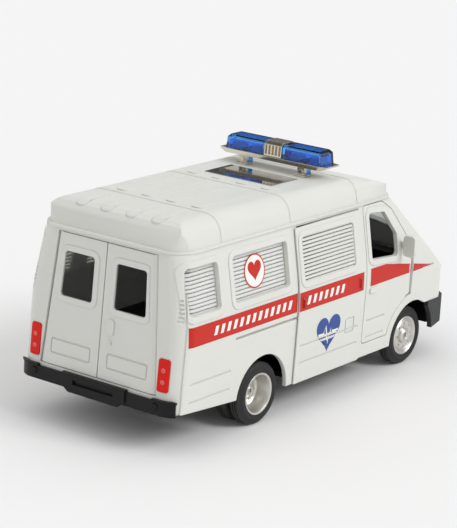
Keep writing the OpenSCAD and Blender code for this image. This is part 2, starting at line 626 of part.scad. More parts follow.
// Chassis: a plate inside the sides, with axle saddles and front wheel boxes
plate_hw_in = hw - 2.7;
plate_z0 = chassis_top - chassis_t;
saddle_y = 15;
well_in = front_track_w / 2 - front_tyre_w - 4.5;
well_top = 27;
well_t = 1.2;
motor_x0 = rear_x - 6.6;
motor_x1 = rear_x + 22.2;
motor_hw = 8;
half_plate = [[x_back + wall + 1, -hw + 8, 0], [x_back + wall + 7, -plate_hw_in, 0],
  [nose_x - 16.8, -plate_hw_in, 0], [nose_x - 6.8, -plate_hw_in + 7, 0]];
chassis_pts = concat(half_plate, other_side(half_plate));
pad_h = 0.6;
module chassis() color(BLACK) difference() {
  union() {
    translate([0, 0, plate_z0]) linear_extrude(chassis_t) flat(chassis_pts);
    block([motor_x1 + 3, -saddle_y - 1, plate_z0 - pad_h],
      [front_x - well_l - 4, saddle_y + 1, plate_z0 + eps]);
    for (x = [rear_x, front_x], s = [-1, 1]) translate([x, s * saddle_y, 0])
      block([-3, -1.8, axle_z - axle_d / 2 - 1.4], [3, 1.8, plate_z0 + eps]);
    both() block([front_x - well_l, well_in, plate_z0], [front_x + well_l, plate_hw_in, well_top]);
  }
  both() {
    block([front_x - well_l + well_t, well_in + well_t, 0],
      [front_x + well_l - well_t, body_w, well_top - well_t]);
    block([rear_x - arch_r, rear_track_w / 2 - twin_w - 2.2, 0], [rear_x + arch_r, body_w, chassis_top + 1]);
    for (p = posts) translate([p[0], p[1], 0]) {
      cylinder(r = screw_r + 0.15, h = chassis_top + 1);
      cylinder(r = 2.1, h = plate_z0 + 0.8);
    }
  }
  block([motor_x0 - 0.4, -motor_hw - 0.4, 0], [motor_x1 + 0.4, motor_hw + 0.4, chassis_top + 1]);
  for (x = [rear_x, front_x]) wheel_arch(x, axle_d / 2 + run_gap);
}
module chassis_screws() color(SILVER) both() for (p = posts) translate([p[0], p[1], plate_z0 + 0.02]) {
  difference() {
    cylinder(r = 1.9, h = 0.78);
    translate([-1.3, -0.2, -1]) cube([2.6, 0.4, 1.4]);
    translate([-0.2, -1.3, -1]) cube([0.4, 2.6, 1.4]);
  }
  cylinder(r = screw_r, h = chassis_t + screw_l - 0.4);
}

// Load floor with boxes over the rear wheels and the drive
floor_z = 20;
floor_t = 1.4;
floor_x0 = x_back + 7.5;
floor_x1 = cab_x0 - 1.2;
rear_box = rear_track_w / 2 - twin_w - 4.6;
drive_top = 26.8;
module interior_tub() color(DARK) difference() {
  union() {
    block([floor_x0, -plate_hw_in, floor_z], [floor_x1, plate_hw_in, floor_z + floor_t]);
    block([motor_x0 - 2.4, -motor_hw - 2.4, floor_z], [motor_x1 + 2.4, motor_hw + 2.4, drive_top]);
    both() block([rear_x - well_l - 0.8, rear_box, floor_z],
      [rear_x + well_l + 0.8, plate_hw_in, well_top]);
    for (x = [floor_x0 + 14, side_x0 + 12], y = [-14, 14])
      block([x, y - 1.5, chassis_top], [x + 3, y + 1.5, floor_z + eps]);
    difference() {
      block([floor_x1 - 1.4, -plate_hw_in + 1, floor_z], [floor_x1, plate_hw_in - 1, belt_z + 2]);
      block([floor_x1 - 3, -14, belt_z - 10], [floor_x1 + 2, 14, belt_z - 1]);
    }
  }
  block([motor_x0 - 1.2, -motor_hw - 1.2, 0], [motor_x1 + 1.2, motor_hw + 1.2, drive_top - 1.2]);
  both() block([rear_x - well_l + 0.4, rear_box + 1.2, 0], [rear_x + well_l - 0.4, body_w, well_top - 1.2]);
}

// Cab
cab_hw = hw - 8.3;
module cab_seats() color(DARK) {
  seat = [[cab_x0 + 1.4, chassis_top], [cab_x0 + 15, chassis_top], [cab_x0 + 17.6, chassis_top + 11],
    [cab_x0 + 17.2, chassis_top + 13.6], [cab_x0 + 6.8, chassis_top + 12.4],
    [cab_x0 + 4.6, chassis_top + 34], [cab_x0 + 1.8, chassis_top + 34], [cab_x0 + 1.4, chassis_top + 14]];
  for (y = [[-cab_hw, -8.6], [-8, 6], [8.6, cab_hw]]) along_y(y[0], y[1]) flat(seat);
  for (y = [-17.8, 17.8]) along_y(y - 4.5, y + 4.5)
    rounded(box_pts(cab_x0 + 1.9, chassis_top + 33.8, cab_x0 + 4.5, chassis_top + 39, 1));
  along_y(-cab_hw, cab_hw) flat(box_pts(cab_x0 + 1.4, chassis_top, cab_x0 + 14, chassis_top + 6, 0));
}
wheel_y = 17.5;
column_r = 0.9;
module on_column() translate([front_x + 3, wheel_y, belt_z - 6.4]) rotate([0, -62, 0]) children();
module dashboard() color(BLACK) difference() {
  along_y(-cab_hw, cab_hw) flat([[front_x + 4.6, well_top], [front_x + 11, well_top],
    [front_x + 11.4, belt_z - 4.4], [front_x + 7, belt_z - 1.8], [front_x + 3, belt_z - 2.6],
    [front_x + 2.2, belt_z - 5.4]]);
  along_y(-12, 4) flat([[front_x, belt_z - 12], [front_x + 5, belt_z - 12], [front_x + 4.6, belt_z - 6.6],
    [front_x, belt_z - 6.6]]);
  on_column() translate([0, 0, -2]) cylinder(r = column_r + seat_gap, h = 4);
}
module steering_wheel() color(BLACK) on_column() {
  translate([0, 0, 3.4]) rotate_extrude() translate([4.6, 0]) circle(0.7);
  translate([0, 0, -1.6]) cylinder(r = column_r, h = 5.4);
  for (a = [90, 210, 330]) rotate(a) translate([0, -0.5, 3]) cube([4.6, 1, 0.7]);
}

// Wheels: each profile is [radius, distance in from the outer face]
tyre_seat = rim_d / 2;
bore_r = axle_d / 2 + 0.01;
module on_axle(x, s, track) translate([x, s * track / 2, axle_z]) rotate([90, 0, 0])
  mirror([0, 0, s > 0 ? 0 : 1]) rotate_extrude() children();
tread = 0.45;
module tyre2d(w) {
  r = tyre_d / 2;
  foot = tyre_seat + 0.02;
  difference() {
    polygon([[foot, 0.3], [foot + 1.4, 0], [r - 1, 0.3], [r - 0.2, 1], [r, 1.4], [r, w - 1.4],
      [r - 0.2, w - 1], [r - 1, w - 0.3], [foot + 1.4, w], [foot, w - 0.3]]);
    for (y = [0.36, 0.56]) translate([r - tread, w * y]) square([1, w * 0.08]);
  }
}
module tyre(x, s, track, w, in) color(BLACK) on_axle(x, s, track) translate([0, in]) tyre2d(w);
module tyre_front_left() tyre(front_x, 1, front_track_w, front_tyre_w, 0);
module tyre_front_right() tyre(front_x, -1, front_track_w, front_tyre_w, 0);
module tyre_rear_left_outer() tyre(rear_x, 1, rear_track_w, rear_tyre_w, 0);
module tyre_rear_right_outer() tyre(rear_x, -1, rear_track_w, rear_tyre_w, 0);
module tyre_rear_left_inner() tyre(rear_x, 1, rear_track_w, rear_tyre_w, rear_tyre_w + twin_gap);
module tyre_rear_right_inner() tyre(rear_x, -1, rear_track_w, rear_tyre_w, rear_tyre_w + twin_gap);

module front_rim2d() polygon([[bore_r, 0.3], [1.9, -0.2], [2.8, 0.4], [3, 1.2], [4.2, 0.7], [5.4, 0.9],
  [6.2, 1.5], [6.8, 0.6], [tyre_seat - 0.4, 0.3], [tyre_seat, 0.6], [tyre_seat, front_tyre_w - 0.4],
  [tyre_seat - 0.8, front_tyre_w - 0.4], [6.2, 2.9], [3, 2.8], [2.6, front_tyre_w - 0.6],
  [bore_r, front_tyre_w - 0.6]]);
module rear_rim2d() polygon([[bore_r, 4], [1.5, 3.8], [2.2, 4.4], [2.5, 5.6], [4.9, 5.8], [5.6, 5.2],
  [6.6, 0.9], [6.9, 0.3], [tyre_seat - 0.2, 0.1], [tyre_seat, 0.5], [tyre_seat, twin_w - 0.3],
  [tyre_seat - 0.9, twin_w - 0.3], [6.4, 7.2], [2.6, 7.2], [2.4, twin_w - 0.6], [bore_r, twin_w - 0.6]]);
module lugs(x, s, track, n, r, in) translate([x, s * (track / 2 - in), axle_z]) rotate([90, 0, 0])
  for (i = [0 : n - 1]) rotate(i * 360 / n) translate([r, 0, 0]) cylinder(r = 0.5, h = 1.2, center = true);
module front_rim(s) color(SILVER) difference() {
  on_axle(front_x, s, front_track_w) front_rim2d();
  lugs(front_x, s, front_track_w, 8, 4.6, 0.6);
}
module rear_rim(s) color(SILVER) {
  on_axle(rear_x, s, rear_track_w) rear_rim2d();
  lugs(rear_x, s, rear_track_w, 6, 3.8, 5.7);
}
module rim_front_left() front_rim(1);
module rim_front_right() front_rim(-1);
module rim_rear_left() rear_rim(1);
module rim_rear_right() rear_rim(-1);
module axle(x, track, in) color(SILVER) along_y(-track / 2 + in, track / 2 - in)
  translate([x, axle_z]) circle(axle_d / 2);
module front_axle() axle(front_x, front_track_w, 0.6);
module rear_axle() axle(rear_x, rear_track_w, 4.4);

// Friction drive: axle gear, idler and flywheel between two case halves
lift = 30;
lift2 = 15;
mesh1 = gear_m * (axle_teeth + pinion_teeth) / 2;
mesh2 = gear_m * (idler_teeth + pinion_teeth) / 2;
idler_c = [rear_x + mesh1 * cos(lift), axle_z + mesh1 * sin(lift)];
fly_c = [idler_c[0] + mesh2 * cos(lift2), idler_c[1] + mesh2 * sin(lift2)];
shaft_r = 0.75;
case_t = 1.2;
case_z0 = axle_z - gear_m * axle_teeth / 2 - 2;
case_z1 = fly_c[1] + fly_r + 1.8;
function tooth(n, a) = let (p = gear_m * n / 2, q = 90 / n, tip = p + 0.82 * gear_m,
    root = p - 1.1 * gear_m)
  [for (f = [[root, -1.5], [p, -0.84], [tip, -0.36], [tip, 0.36], [p, 0.84], [root, 1.5]])
    [f[0] * cos(a + f[1] * q), f[0] * sin(a + f[1] * q)]];
module gear(c, n, turn, y0, y1) along_y(y0, y1) translate(c) rotate(turn)
  polygon([for (i = [0 : n - 1]) each tooth(n, i * 360 / n)]);
module shaft(c, r, y0, y1) along_y(y0, y1) translate(c) circle(r);
module axle_gear() color(WHITE) difference() {
  gear([rear_x, axle_z], axle_teeth, lift, 2, 5);
  shaft([rear_x, axle_z], bore_r, 0, 8);
}
module idler_gear() color(WHITE) {
  gear(idler_c, pinion_teeth, lift + 180 + 180 / pinion_teeth, 0.6, 5.4);
  gear(idler_c, idler_teeth, lift2, -2.2, 0.6);
  shaft(idler_c, shaft_r, -motor_hw + 0.1, motor_hw - 0.1);
}
module flywheel() color(SILVER) {
  gear(fly_c, pinion_teeth, lift2 + 180 + 180 / pinion_teeth, -2.9, 0.8);
  shaft(fly_c, fly_r, -6.2, -2.9);
  shaft(fly_c, shaft_r, -motor_hw + 0.1, motor_hw - 0.1);
}
module case_half() color(DARK) difference() {
  union() {
    block([motor_x0, 0, case_z0], [motor_x1, motor_hw, case_z1]);
    for (x = [[motor_x0 - 1.1, motor_x0 + 1], [motor_x1 - 1, motor_x1 + 1.1]])
      block([x[0], 1, chassis_top], [x[1], motor_hw, chassis_top + 1.6]);
  }
  block([motor_x0 + case_t, -1, case_z0 + case_t],
    [motor_x1 - case_t, motor_hw - case_t, case_z1 - case_t]);
  shaft([rear_x, axle_z], axle_d / 2 + run_gap, -1, motor_hw + 1);
  for (c = [idler_c, fly_c]) shaft(c, shaft_r + run_gap, -1, motor_hw + 1);
}
module motor_lid() translate([0, 0.02, 0]) case_half();
module motor_case() mirror([0, 1, 0]) case_half();

// Doors
module skin(out, in) difference() {
  along_x(-body_len, body_len) flat(inset(section_pts, -out));
  along_x(-far, far) flat(inset(tall_section, in));
}
pin_l = boss_h - 0.4;

// Room beside the knuckle, so that the panel clears the shell as it turns
module hinge_room() for (z = [[0, hinge_z0 - door_gap], [hinge_z1 + 0.9, cab_top]])
  translate([hinge_x, hinge_y, z[0]]) cylinder(r = knuckle_r + 1.2, h = z[1] - z[0]);
module front_door() color(WHITE) {
  difference() {
    intersection() {
      union() {
        intersection() { skin(0, wall); along_y(0, body_w) cab_panel(); }
        intersection() { skin(frame_h, wall); along_y(0, body_w) frame2d(cab_win); }
      }
      block([-body_len, hw / 2, 0], [body_len, body_w, gutter_z]);
    }
    along_y(0, body_w) rounded(cab_win);
    hinge_room();
    difference() {
      for (z = [17.8, 24.2]) block([cab_x0 + 2, 0, z], [cab_x0 + 14, body_w, z + crease_w]);
      along_x(-body_len, body_len) flat(inset(section_pts, groove));
    }
  }
  translate([hinge_x, hinge_y, hinge_z0]) cylinder(r = knuckle_r, h = hinge_z1 - hinge_z0);
  translate([hinge_x, hinge_y, hinge_z0 - pin_l]) cylinder(r = pin_r, h = hinge_z1 - hinge_z0 + 2 * pin_l);
  along_y(hw - 0.3, hw + 0.6) rounded(box_pts(cab_x0 + 2.2, belt_z - 9, cab_x0 + 7.4, belt_z - 7, 0.7));
}
module front_door_left() front_door();
module front_door_right() mirror([0, 1, 0]) front_door();
mirror_x = cab_x0 + 21.8;
module mirror_one() color(WHITE) {
  along_x(mirror_x, mirror_x + 2) rounded(box_pts(hw + 0.9, belt_z + 2, hw + 6, belt_z + 10, 1.6));
  z0 = belt_z + 4.6;
  z1 = belt_z + 7;
  foot = frame_h;
  along_x(mirror_x + 1.1, mirror_x + 2.4) flat([[half_w(z0) + foot, z0], [hw + 1.5, z0], [hw + 1.5, z1],
    [half_w(z1) + foot, z1]]);
}
module mirror_left() mirror_one();
module mirror_right() mirror([0, 1, 0]) mirror_one();

panel_edge = knuckle_r / cos(edge_tilt);
rear_panel = [rear_pts[0], [rear_door_w - panel_edge, rear_door_z, 0],
  [rear_door_top_w - panel_edge, rear_top, 0], rear_pts[3]];
plate_frame = box_pts(3.6, 24.4, 21.4, 29.9, 1);
frame_in = 1.8;
module across() along_x(-body_len, x_back + 12) children();
module slab(out, in) leaning() block([-out, -hw, -8], [in, hw, gutter_z]);
module rear_door() color(WHITE) {
  difference() {
    union() {
      intersection() { across() flat(rear_panel); slab(0, wall); }
      intersection() {
        across() intersection() { frame2d(rear_win); flat(inset(rear_panel, frame_in)); }
        slab(frame_h, wall);
      }
    }
    across() rounded(rear_win);
    intersection() { across() flat(inset(rear_win, -1.3)); slab(-0.6, wall + 1); }
    intersection() { across() outline2d(plate_frame, crease_w); slab(1, groove); }
  }
  rear_hinge() {
    cylinder(r = knuckle_r, h = rear_hinge_l);
    translate([0, 0, -pin_l]) cylinder(r = pin_r, h = rear_hinge_l + pin_l + 1);
  }
}
module rear_door_left() rear_door();
module rear_door_right() {
  mirror([0, 1, 0]) rear_door();
  color(WHITE) intersection() {
    across() { rounded(box_pts(-5.9, 36, -2.8, 41.8, 1.5)); translate([-4.4, 33.6]) circle(0.8); }
    slab(0.6, 0.2);
  }
}

// Sliding side door: a wedge that runs out along its slanted rail
rail_clear = 0.3;
proud = side_door_t + rail_clear;
side_pane = window(win_door, 0);
fuel_flap = box_pts(side_x0 + 30, 22.9, side_x0 + 35.8, 28.7, 0.9);
module rail_side(d) translate([side_x0, -hw, 0]) rotate([0, 0, rail_slant]) translate([-side_x0, hw, 0])
  along_x(-far, far) flat(inset(tall_section, d));
module side_door() color(WHITE) difference() {
  union() {
    intersection() {
      along_x(side_x0, side_x1) flat(inset(tall_section, -proud));
      block([side_x0, -body_w, sill_z], [side_x1, -hw / 2, gutter_z - 1]);
    }
    intersection() {
      along_x(side_x0, side_x1) flat(inset(tall_section, -proud - frame_h));
      along_y(-body_w, -hw / 2) frame2d(side_pane);
    }
    for (x = [side_x0 + 2.2, side_x1 - 2.6]) translate([0, -hw - proud - 0.5, 0])
      along_y(0, 0.9) rounded(box_pts(x, belt_z - 5, x + 1.2, belt_z - 1.6, 0.5));
  }
  difference() {
    rail_side(-rail_clear);
    block([side_x0, -hw - 1, rail_z - rail_w / 3],
      [side_x0 + 2, -hw + rail_depth - 0.2, rail_z + rail_w / 3]);
  }
  difference() {
    along_y(-body_w, 0) rounded(side_pane);
    along_x(-far, far) flat(inset(tall_section, -proud + 0.2));
  }
  mirror([0, 1, 0]) slots(win_door);
  difference() {
    union() {
      for (z = [17.8, 24.2]) block([side_x0 + 2, -body_w, z], [side_x1 - 2, 0, z + crease_w]);
      along_y(-body_w, 0) outline2d(fuel_flap, crease_w);
    }
    along_x(-far, far) flat(inset(tall_section, -proud + groove));
  }
}

body_shell();
roof_cap();
chassis();
interior_tub();
cab_seats();
dashboard();
steering_wheel();
windscreen();
front_bumper();
rear_bumper();
bumper_bolts();
grille();
headlamp_left();
headlamp_right();
tail_lamp_left();
tail_lamp_right();
roof_plate();
louvre_left();
louvre_right();
bar_tray();
bar_siren();
bar_reflectors();
bar_lens_left();
bar_lens_right();
motor_case();
motor_lid();
chassis_screws();
front_axle();
rim_front_left();
rim_front_right();
tyre_front_left();
tyre_front_right();
rear_axle();
axle_gear();
rim_rear_left();
rim_rear_right();
tyre_rear_left_outer();
tyre_rear_left_inner();
tyre_rear_right_outer();
tyre_rear_right_inner();
idler_gear();
flywheel();
front_door_left();
front_door_right();
mirror_left();
mirror_right();
rear_door_left();
rear_door_right();
side_door();
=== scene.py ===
# %% [markdown]
# # A toy ambulance, dressed for its photograph
# The solids of this van come from a CAD model: each panel, door, wheel and lamp is a node with its
# true shape, already in metres and already in place. What is left for Blender is what the eye reads
# as "moulded plastic", "metal coating" or "printed sticker". We load the solids as a fixed frame and
# never move them; everything new is laid on top and rides on the body that carries it.

# %% Load the frame
import math

import bmesh
import bpy
from mathutils import Matrix, Vector
from mathutils.bvhtree import BVHTree


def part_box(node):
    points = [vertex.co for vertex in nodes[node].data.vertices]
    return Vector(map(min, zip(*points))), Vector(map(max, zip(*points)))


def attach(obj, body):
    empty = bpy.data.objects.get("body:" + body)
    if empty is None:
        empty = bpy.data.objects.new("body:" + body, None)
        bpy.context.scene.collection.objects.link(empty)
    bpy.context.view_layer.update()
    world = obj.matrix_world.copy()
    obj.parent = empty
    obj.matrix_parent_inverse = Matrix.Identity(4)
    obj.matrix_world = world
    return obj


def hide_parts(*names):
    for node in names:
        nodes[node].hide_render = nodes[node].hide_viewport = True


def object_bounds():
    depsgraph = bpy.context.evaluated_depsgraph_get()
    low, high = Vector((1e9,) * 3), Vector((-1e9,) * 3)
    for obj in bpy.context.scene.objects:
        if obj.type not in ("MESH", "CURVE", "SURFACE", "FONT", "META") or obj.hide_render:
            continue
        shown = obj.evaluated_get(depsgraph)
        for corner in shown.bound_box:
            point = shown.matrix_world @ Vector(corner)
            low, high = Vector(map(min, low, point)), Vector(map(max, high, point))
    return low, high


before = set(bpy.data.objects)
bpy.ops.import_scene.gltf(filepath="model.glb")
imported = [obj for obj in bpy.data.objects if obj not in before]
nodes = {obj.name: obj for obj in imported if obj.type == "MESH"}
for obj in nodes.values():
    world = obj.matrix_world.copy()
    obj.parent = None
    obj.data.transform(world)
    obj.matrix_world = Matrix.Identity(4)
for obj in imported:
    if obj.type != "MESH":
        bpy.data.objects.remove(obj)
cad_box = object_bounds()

MM = 0.001
scene = bpy.context.scene
scene.view_settings.view_transform = "Standard"

# %% [markdown]
# ## The camera
# The photograph was taken from behind the right rear corner, a little above the roof. Its place was
# worked out from straight edges of the van whose sizes are known: the far side shrinks so little that
# the lens must be long. A camera in Blender looks along its own minus Z, so its matrix is simply the
# three directions right, up and back, side by side, with the place as the last column.

# %% Camera
PHOTO = (457, 528)
FOCAL_PX = 2100
SENSOR = 36.0
PLACE_MM = (-602.75, -436.2, 249.6)
AZIMUTH, ELEVATION, ROLL = -53.4, 15.5, 2.95


def look(place_mm, azimuth, elevation, roll):
    a, e, r = (math.radians(v) for v in (azimuth, elevation, roll))
    back = Vector((math.sin(a) * math.cos(e), -math.cos(a) * math.cos(e), math.sin(e)))
    level = (-back).cross(Vector((0, 0, 1))).normalized()
    upright = level.cross(-back)
    right = level * math.cos(r) + upright * math.sin(r)
    up = upright * math.cos(r) - level * math.sin(r)
    turn = Matrix((right, up, back)).transposed().to_4x4()
    return Matrix.Translation(Vector(place_mm) * MM) @ turn


camera_data = bpy.data.cameras.new("camera")
camera_data.sensor_width = SENSOR
camera_data.lens = FOCAL_PX * SENSOR / max(PHOTO)
camera_data.clip_start, camera_data.clip_end = 0.05, 20
camera = bpy.data.objects.new("camera", camera_data)
camera.matrix_world = look(PLACE_MM, AZIMUTH, ELEVATION, ROLL)
scene.collection.objects.link(camera)
scene.camera = camera
print("lens", round(camera_data.lens, 1), "mm")

# %% [markdown]
# ## Helpers for every finish
# Colours are written as the hex values that a paint chart or a screen would give, and turned to the
# linear light that a renderer counts in; a second tone of the same paint is that light times a factor.
# One small function adds a node, sets what it needs and links it, so that each material below reads as
# a list of what it is made of.

# %% Colour and node helpers
def linear(hex_colour):
    parts = [int(hex_colour[i:i + 2], 16) / 255 for i in (1, 3, 5)]
    light = [c / 12.92 if c <= 0.04045 else ((c + 0.055) / 1.055) ** 2.4 for c in parts]
    return (*light, 1.0)


def shade(colour, factor, lift=0.0):
    return [c * factor + lift for c in colour[:3]] + [1]


def add(owner, kind, settings=None, links=None):
    tree = getattr(owner, "node_tree", owner)
    node = tree.nodes.new(kind)
    for key, value in (settings or {}).items():
        if isinstance(key, int) or key in node.inputs:
            node.inputs[key].default_value = value
        else:
            setattr(node, key, value)
    for socket, source in (links or {}).items():
        tree.links.new(source, node.inputs[socket])
    return node


def start(name):
    material = bpy.data.materials.new(name)
    material.use_nodes = True
    material.node_tree.nodes.clear()
    return material


def close(material, shader):
    add(material, "ShaderNodeOutputMaterial", links={"Surface": shader.outputs[0]})
    return material


print("white in linear light:", [round(c, 3) for c in linear("#DADBD5")])

# %% [markdown]
# ## White ABS, injection moulded
# The body is moulded in one warm white plastic. Three things make it look moulded and not cut: every
# edge has a small radius, the skin has a faint orange-peel ripple, and the white isn't quite even,
# because the wall cools unevenly. The CAD edges are sharp, so the radius comes from a Bevel node,
# which rounds the shading by its real size and leaves the solid alone. White plastic also lets light
# in for about a millimetre, which fills its narrow gaps with a soft grey and makes thin slats glow.
# The reflectors inside the light bar are a brighter white, so that they show through the blue.

# %% White ABS
def moulded_white(name, hex_colour, edge_mm=0.45, roughness=0.36, glow=0.4, depth_mm=0.7):
    m = start(name)
    where = add(m, "ShaderNodeTexCoord").outputs["Object"]
    cloud = add(m, "ShaderNodeTexNoise", {"Scale": 1 / (18 * MM), "Detail": 3.0}, {"Vector": where})
    white = linear(hex_colour)
    tint = add(m, "ShaderNodeMix", {"data_type": "RGBA", 6: shade(white, 0.965), 7: white},
               {0: cloud.outputs["Fac"]})
    peel = add(m, "ShaderNodeTexNoise", {"Scale": 1 / (1.1 * MM), "Detail": 2.0}, {"Vector": where})
    edge = add(m, "ShaderNodeBevel", {"samples": 6, "Radius": edge_mm * MM})
    skin = add(m, "ShaderNodeBump", {"Strength": 0.05, "Distance": 0.05 * MM},
               {"Height": peel.outputs["Fac"], "Normal": edge.outputs["Normal"]})
    gloss = add(m, "ShaderNodeMapRange", {"To Min": roughness - 0.03, "To Max": roughness + 0.06},
                {"Value": cloud.outputs["Fac"]})
    return close(m, add(m, "ShaderNodeBsdfPrincipled",
                        {"IOR": 1.53, "Specular IOR Level": 0.4, "Subsurface Weight": glow,
                         "Subsurface Radius": (1.0, 0.95, 0.85), "Subsurface Scale": depth_mm * MM},
                        {"Base Color": tint.outputs[2], "Roughness": gloss.outputs[0],
                         "Normal": skin.outputs["Normal"]}))


white_abs = moulded_white("white_abs_moulded", "#DADBD5")
slat_abs = moulded_white("white_abs_slats", "#DDDED9", 0.12, 0.45, glow=1.0, depth_mm=1.5)
reflector_abs = moulded_white("white_abs_reflector", "#F1F2EF", 0.2, 0.3)
print("white materials made")

# %% [markdown]
# ## Black and grey plastics
# Bumpers and chassis are polypropylene from a spark-eroded mould: matt, with a fine grain that hides
# scratches. At this distance the real 0.1 mm grain would vanish, so it is drawn about three times as
# coarse. The floor and seats are the same plastic in grey, moulded without grain.

# %% Polypropylene
def grained_plastic(name, hex_colour, grain_mm, roughness, depth_mm, sheen=0.45):
    m = start(name)
    where = add(m, "ShaderNodeTexCoord").outputs["Object"]
    grain = add(m, "ShaderNodeTexNoise", {"Scale": 1 / (grain_mm * MM), "Detail": 2.0},
                {"Vector": where})
    scuff = add(m, "ShaderNodeTexNoise", {"Scale": 1 / (9 * MM), "Detail": 4.0}, {"Vector": where})
    dark = linear(hex_colour)
    tint = add(m, "ShaderNodeMix", {"data_type": "RGBA", 6: dark, 7: shade(dark, 1.5, 0.004)},
               {0: scuff.outputs["Fac"]})
    edge = add(m, "ShaderNodeBevel", {"samples": 4, "Radius": 0.3 * MM})
    bump = add(m, "ShaderNodeBump", {"Strength": 0.35, "Distance": depth_mm * MM},
               {"Height": grain.outputs["Fac"], "Normal": edge.outputs["Normal"]})
    gloss = add(m, "ShaderNodeMapRange", {"To Min": roughness - 0.08, "To Max": roughness + 0.08},
                {"Value": scuff.outputs["Fac"]})
    return close(m, add(m, "ShaderNodeBsdfPrincipled", {"IOR": 1.49, "Specular IOR Level": sheen},
                        {"Base Color": tint.outputs[2], "Roughness": gloss.outputs[0],
                         "Normal": bump.outputs["Normal"]}))


black_pp = grained_plastic("black_polypropylene_grained", "#0B0B0C", 0.35, 0.36, 0.03, sheen=0.22)
grey_pp = grained_plastic("grey_polypropylene_bumper", "#2A2B2C", 0.35, 0.5, 0.04)
cabin_pp = grained_plastic("dark_polypropylene_cabin", "#232426", 0.6, 0.6, 0.02)
gear_nylon = grained_plastic("natural_nylon_gears", "#DAD9CF", 0.5, 0.45, 0.01)
print("plain plastics made")

# %% [markdown]
# ## Tyres
# Toy tyres are soft PVC, dull and a little dusty. The sidewall stays darker than the tread, which
# picks up grey dust, so the colour goes by how far a point lies from its axle. Both axles are at the
# same height, so the distance is measured in the tyre's own plane from its own centre.

# %% Soft PVC
TREAD_MM = 1.2


def tyre_pvc(name, axle_x_mm, axle_z_mm, radius_mm):
    m = start(name)
    where = add(m, "ShaderNodeTexCoord").outputs["Object"]
    hub = add(m, "ShaderNodeMapping",
              {"vector_type": "POINT", "Scale": (1, 0, 1),
               "Location": (-axle_x_mm * MM, 0, -axle_z_mm * MM)}, {"Vector": where})
    reach = add(m, "ShaderNodeVectorMath", {"operation": "LENGTH"}, {0: hub.outputs[0]})
    worn = add(m, "ShaderNodeMapRange",
               {"From Min": (radius_mm - TREAD_MM) * MM, "From Max": radius_mm * MM,
                "To Min": 0.15, "To Max": 1.0}, {"Value": reach.outputs["Value"]})
    dust = add(m, "ShaderNodeTexNoise", {"Scale": 1 / (2.5 * MM), "Detail": 5.0}, {"Vector": where})
    much = add(m, "ShaderNodeMath", {"operation": "MULTIPLY"},
               {0: worn.outputs[0], 1: dust.outputs["Fac"]})
    tint = add(m, "ShaderNodeMix", {"data_type": "RGBA", 6: linear("#1E1E1E"), 7: linear("#4A4947")},
               {0: much.outputs[0]})
    edge = add(m, "ShaderNodeBevel", {"samples": 4, "Radius": 0.35 * MM})
    bump = add(m, "ShaderNodeBump", {"Strength": 0.25, "Distance": 0.05 * MM},
               {"Height": dust.outputs["Fac"], "Normal": edge.outputs["Normal"]})
    return close(m, add(m, "ShaderNodeBsdfPrincipled",
                        {"IOR": 1.52, "Specular IOR Level": 0.35, "Roughness": 0.68},
                        {"Base Color": tint.outputs[2], "Normal": bump.outputs["Normal"]}))


axle_z = (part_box("front_axle")[0].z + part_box("front_axle")[1].z) / 2 / MM
front_x = (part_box("front_axle")[0].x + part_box("front_axle")[1].x) / 2 / MM
rear_x = (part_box("rear_axle")[0].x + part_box("rear_axle")[1].x) / 2 / MM
front_pvc = tyre_pvc("tyre_pvc_front", front_x, axle_z, axle_z)
rear_pvc = tyre_pvc("tyre_pvc_rear", rear_x, axle_z, axle_z)
print("axles at x", round(front_x, 1), round(rear_x, 1), "z", round(axle_z, 1))

# %% [markdown]
# ## Metal coatings
# The light bar's tray and siren are plastic under a vacuum-evaporated aluminium film: a true mirror,
# slightly warm, with soft waves where the plastic below has shrunk. The wheels are sprayed with
# silver paint instead, so their sparkle is broader, from flakes far too fine to see one by one. The
# wires of the axles, the screws and the flywheel are drawn steel, and the bumper's bolts are blackened.

# %% Coated plastic, silver paint and steel
def metal(name, hex_colour, roughness, wave_mm, wave_depth_mm, edge_mm=0.25):
    m = start(name)
    where = add(m, "ShaderNodeTexCoord").outputs["Object"]
    wave = add(m, "ShaderNodeTexNoise", {"Scale": 1 / (wave_mm * MM), "Detail": 2.0}, {"Vector": where})
    smear = add(m, "ShaderNodeTexNoise", {"Scale": 1 / (6 * MM), "Detail": 3.0}, {"Vector": where})
    bright = linear(hex_colour)
    tint = add(m, "ShaderNodeMix", {"data_type": "RGBA", 6: shade(bright, 0.88), 7: bright},
               {0: smear.outputs["Fac"]})
    edge = add(m, "ShaderNodeBevel", {"samples": 4, "Radius": edge_mm * MM})
    bump = add(m, "ShaderNodeBump", {"Strength": 0.3, "Distance": wave_depth_mm * MM},
               {"Height": wave.outputs["Fac"], "Normal": edge.outputs["Normal"]})
    gloss = add(m, "ShaderNodeMapRange", {"To Min": roughness * 0.8, "To Max": roughness * 1.3},
                {"Value": smear.outputs["Fac"]})
    return close(m, add(m, "ShaderNodeBsdfPrincipled", {"Metallic": 1.0},
                        {"Base Color": tint.outputs[2], "Roughness": gloss.outputs[0],
                         "Normal": bump.outputs["Normal"]}))


film = metal("aluminium_film_on_abs", "#D9D2C3", 0.12, 2.5, 0.06, 0.3)
hatch_film = metal("mirror_film_hatch", "#B9B9B8", 0.07, 5.0, 0.04, 0.2)
silver_paint = metal("silver_paint_on_abs", "#DAD8D2", 0.36, 0.4, 0.01, 0.3)
steel = metal("drawn_steel", "#A9ABAD", 0.28, 0.5, 0.01, 0.1)
black_steel = metal("blackened_steel", "#2C2D2F", 0.22, 0.5, 0.02, 0.3)
print("metals made")

